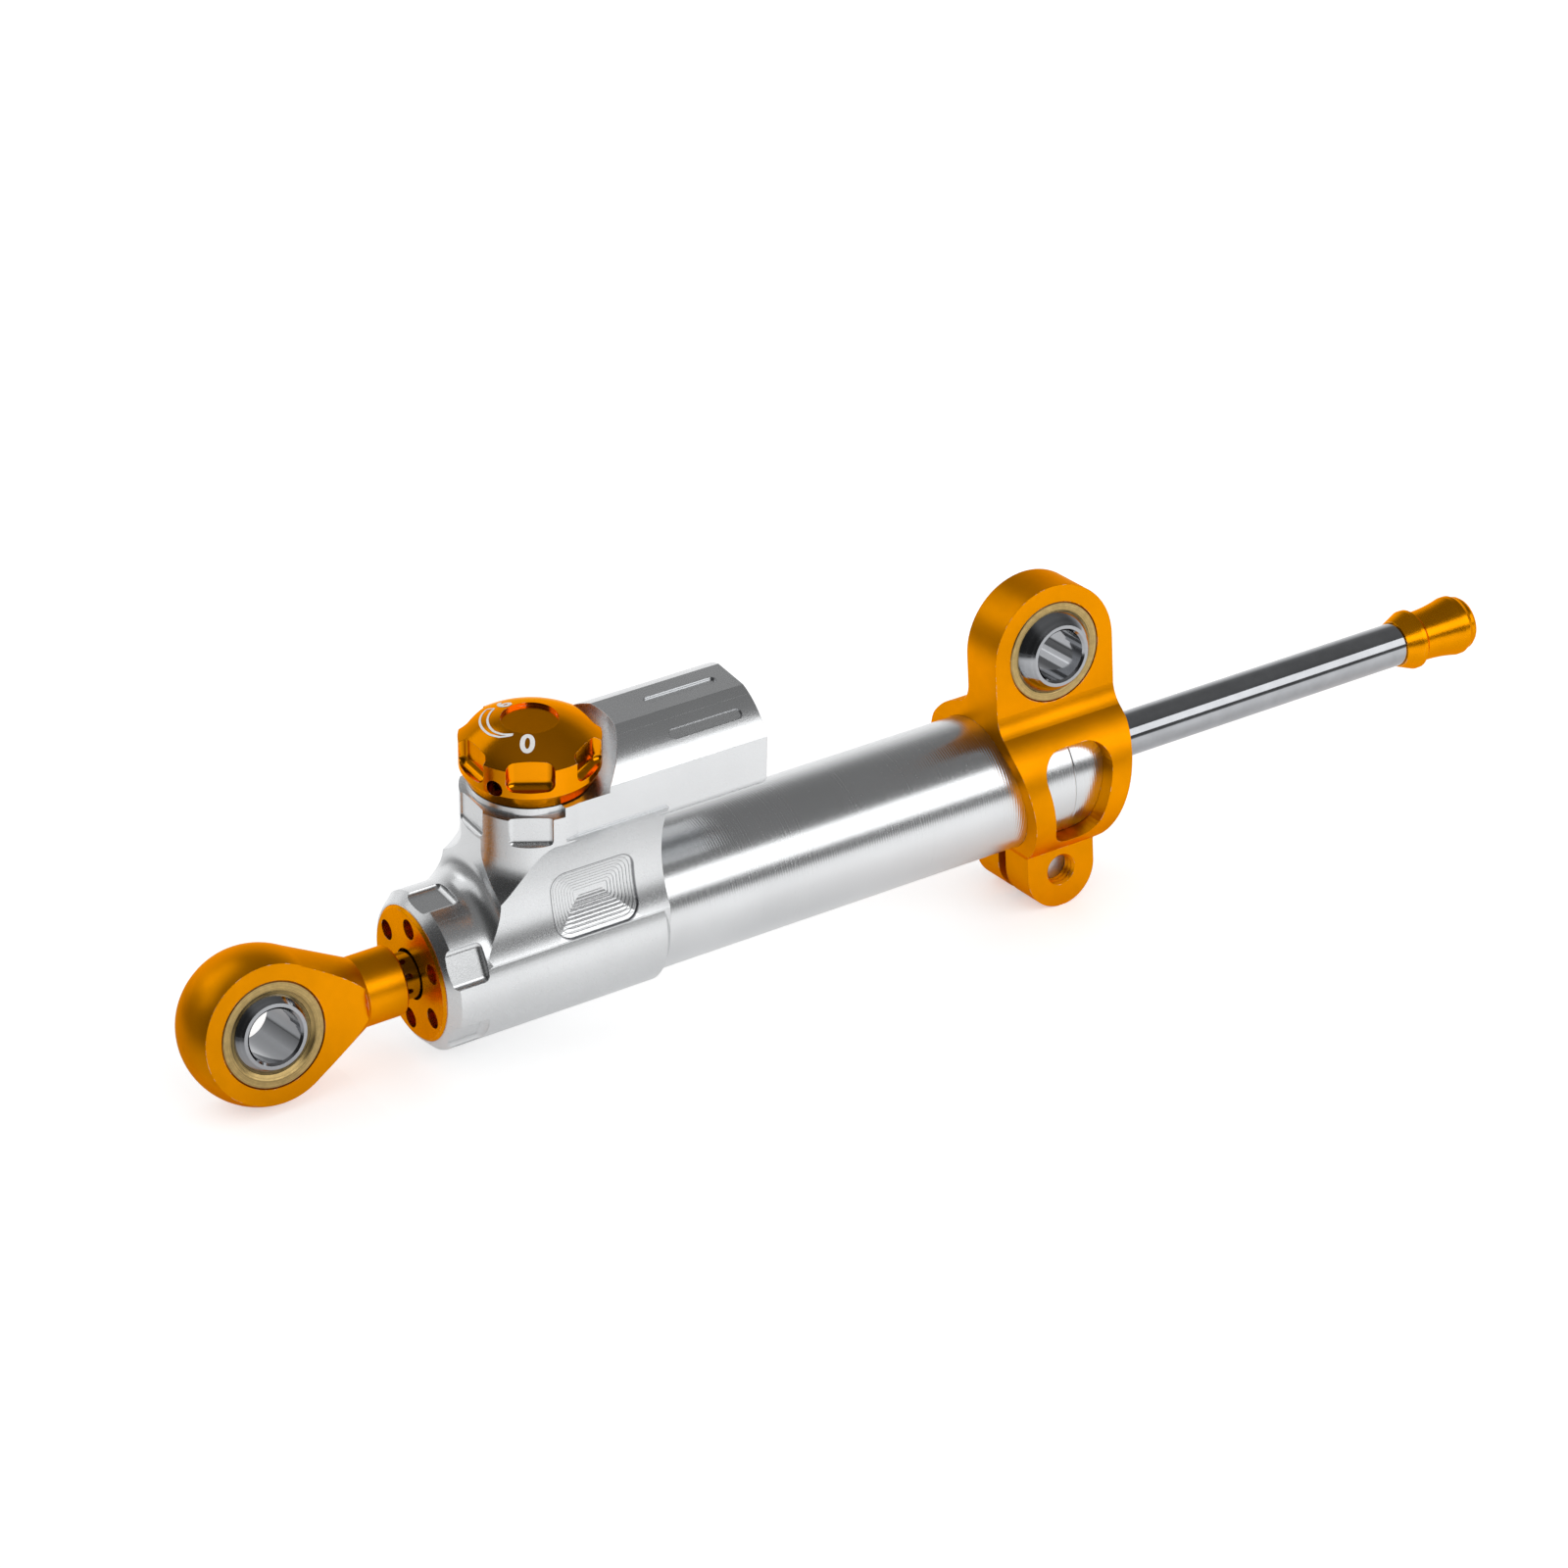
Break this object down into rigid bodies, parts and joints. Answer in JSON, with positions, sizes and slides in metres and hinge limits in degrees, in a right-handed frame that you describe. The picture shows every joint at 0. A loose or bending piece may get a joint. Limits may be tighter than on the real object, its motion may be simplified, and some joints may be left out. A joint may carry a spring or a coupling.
{
  "type": "motorcycle steering damper",
  "caption": "Linear steering damper with a round body, a turned dial on a milled head, a tube clamp and a rod eye with ball bearings.",
  "frame": {"origin": "centre of the rod eye's ball bearing", "axes": "+X along the damper towards the free rod end, +Z along the dial axis away from the tube, +Y away from the side that carries the milled flank pocket"},
  "size_m": [0.2294, 0.0268, 0.0584],
  "materials": {
    "anodised_gold": "satin orange gold anodising",
    "machined_aluminium": "fine machined satin",
    "turned_aluminium": "fine turned lines round the axis",
    "chromed_rod": "polished hard chrome",
    "bearing_brass": "turned face",
    "bearing_steel": "polished bearing steel",
    "screw_steel": "zinc plated",
    "spring_steel": "ground",
    "black_rubber": "matt black",
    "white_polymer": "filled white polymer"
  },
  "bodies": {
    "damper": {"head_body": "machined_aluminium", "main_tube": "turned_aluminium", "inner_sleeve": "spring_steel", "rear_end_cap": "turned_aluminium", "front_gland_cap": "anodised_gold", "front_wiper": "black_rubber", "front_rod_guide": "machined_aluminium", "front_rod_seal": "black_rubber", "front_rod_bush": "bearing_brass", "front_guide_oring": "black_rubber", "rear_rod_bush": "bearing_brass", "rear_rod_seal": "black_rubber", "rear_wiper": "black_rubber", "rear_cap_oring": "black_rubber", "spindle_retainer": "bearing_brass", "valve_seat": "bearing_brass", "detent_ball": "spring_steel", "detent_spring": "spring_steel", "compensator_spring": "spring_steel", "compensator_plug": "machined_aluminium", "compensator_plug_oring": "black_rubber"},
    "piston": {"piston": "machined_aluminium", "piston_band": "white_polymer"},
    "rod": {"piston_rod": "chromed_rod", "piston_circlips": "spring_steel", "rod_eye": "anodised_gold", "rod_eye_race": "bearing_brass", "rod_end_stop": "anodised_gold"},
    "eye_ball": {"rod_eye_ball": "bearing_steel"},
    "clamp": {"clamp": "anodised_gold", "clamp_race": "bearing_brass", "clamp_pinch_bolt": "screw_steel"},
    "clamp_ball": {"clamp_ball": "bearing_steel"},
    "dial": {"adjuster_knob": "anodised_gold", "knob_grub_screw": "screw_steel", "adjuster_spindle": "spring_steel", "spindle_oring": "black_rubber"},
    "needle": {"needle_valve": "spring_steel"},
    "compensator": {"compensator_piston": "machined_aluminium", "compensator_oring": "black_rubber"}
  },
  "joints": [
    {"name": "rod_slide", "type": "slide", "parent": "damper", "child": "piston", "axis": [1, 0, 0], "range_m": [-0.06, 0.002]},
    {"name": "rod_spin", "type": "hinge", "parent": "piston", "child": "rod", "pos_m": [0, 0, 0], "axis": [1, 0, 0], "continuous": true},
    {"name": "eye_ball_tilt", "type": "hinge", "parent": "rod", "child": "eye_ball", "pos_m": [0, 0, 0], "axis": [0, 0.225, 0.9744], "range_deg": [-12, 12]},
    {"name": "clamp_slide", "type": "slide", "parent": "damper", "child": "clamp", "axis": [1, 0, 0], "range_m": [-0.042, 0]},
    {"name": "clamp_ball_tilt", "type": "hinge", "parent": "clamp", "child": "clamp_ball", "pos_m": [0.1327, -0.00036, 0.02184], "axis": [1, 0, 0], "range_deg": [-12, 12]},
    {"name": "dial_turn", "type": "hinge", "parent": "damper", "child": "dial", "pos_m": [0.0444, 0, 0.0271], "axis": [0, 0, 1], "range_deg": [-300, 0]},
    {"name": "needle_slide", "type": "slide", "parent": "damper", "child": "needle", "axis": [0, 0, 1], "range_m": [-0.00085, 0]},
    {"name": "compensator_slide", "type": "slide", "parent": "damper", "child": "compensator", "axis": [1, 0, 0], "range_m": [-0.002, 0.0025], "stiffness_N_per_m": 1500, "deforming": ["compensator_spring"]}
  ],
  "couplings": [
    {"joint": "needle_slide", "follows": "dial_turn", "m_per_rad": 0.00015915}
  ]
}
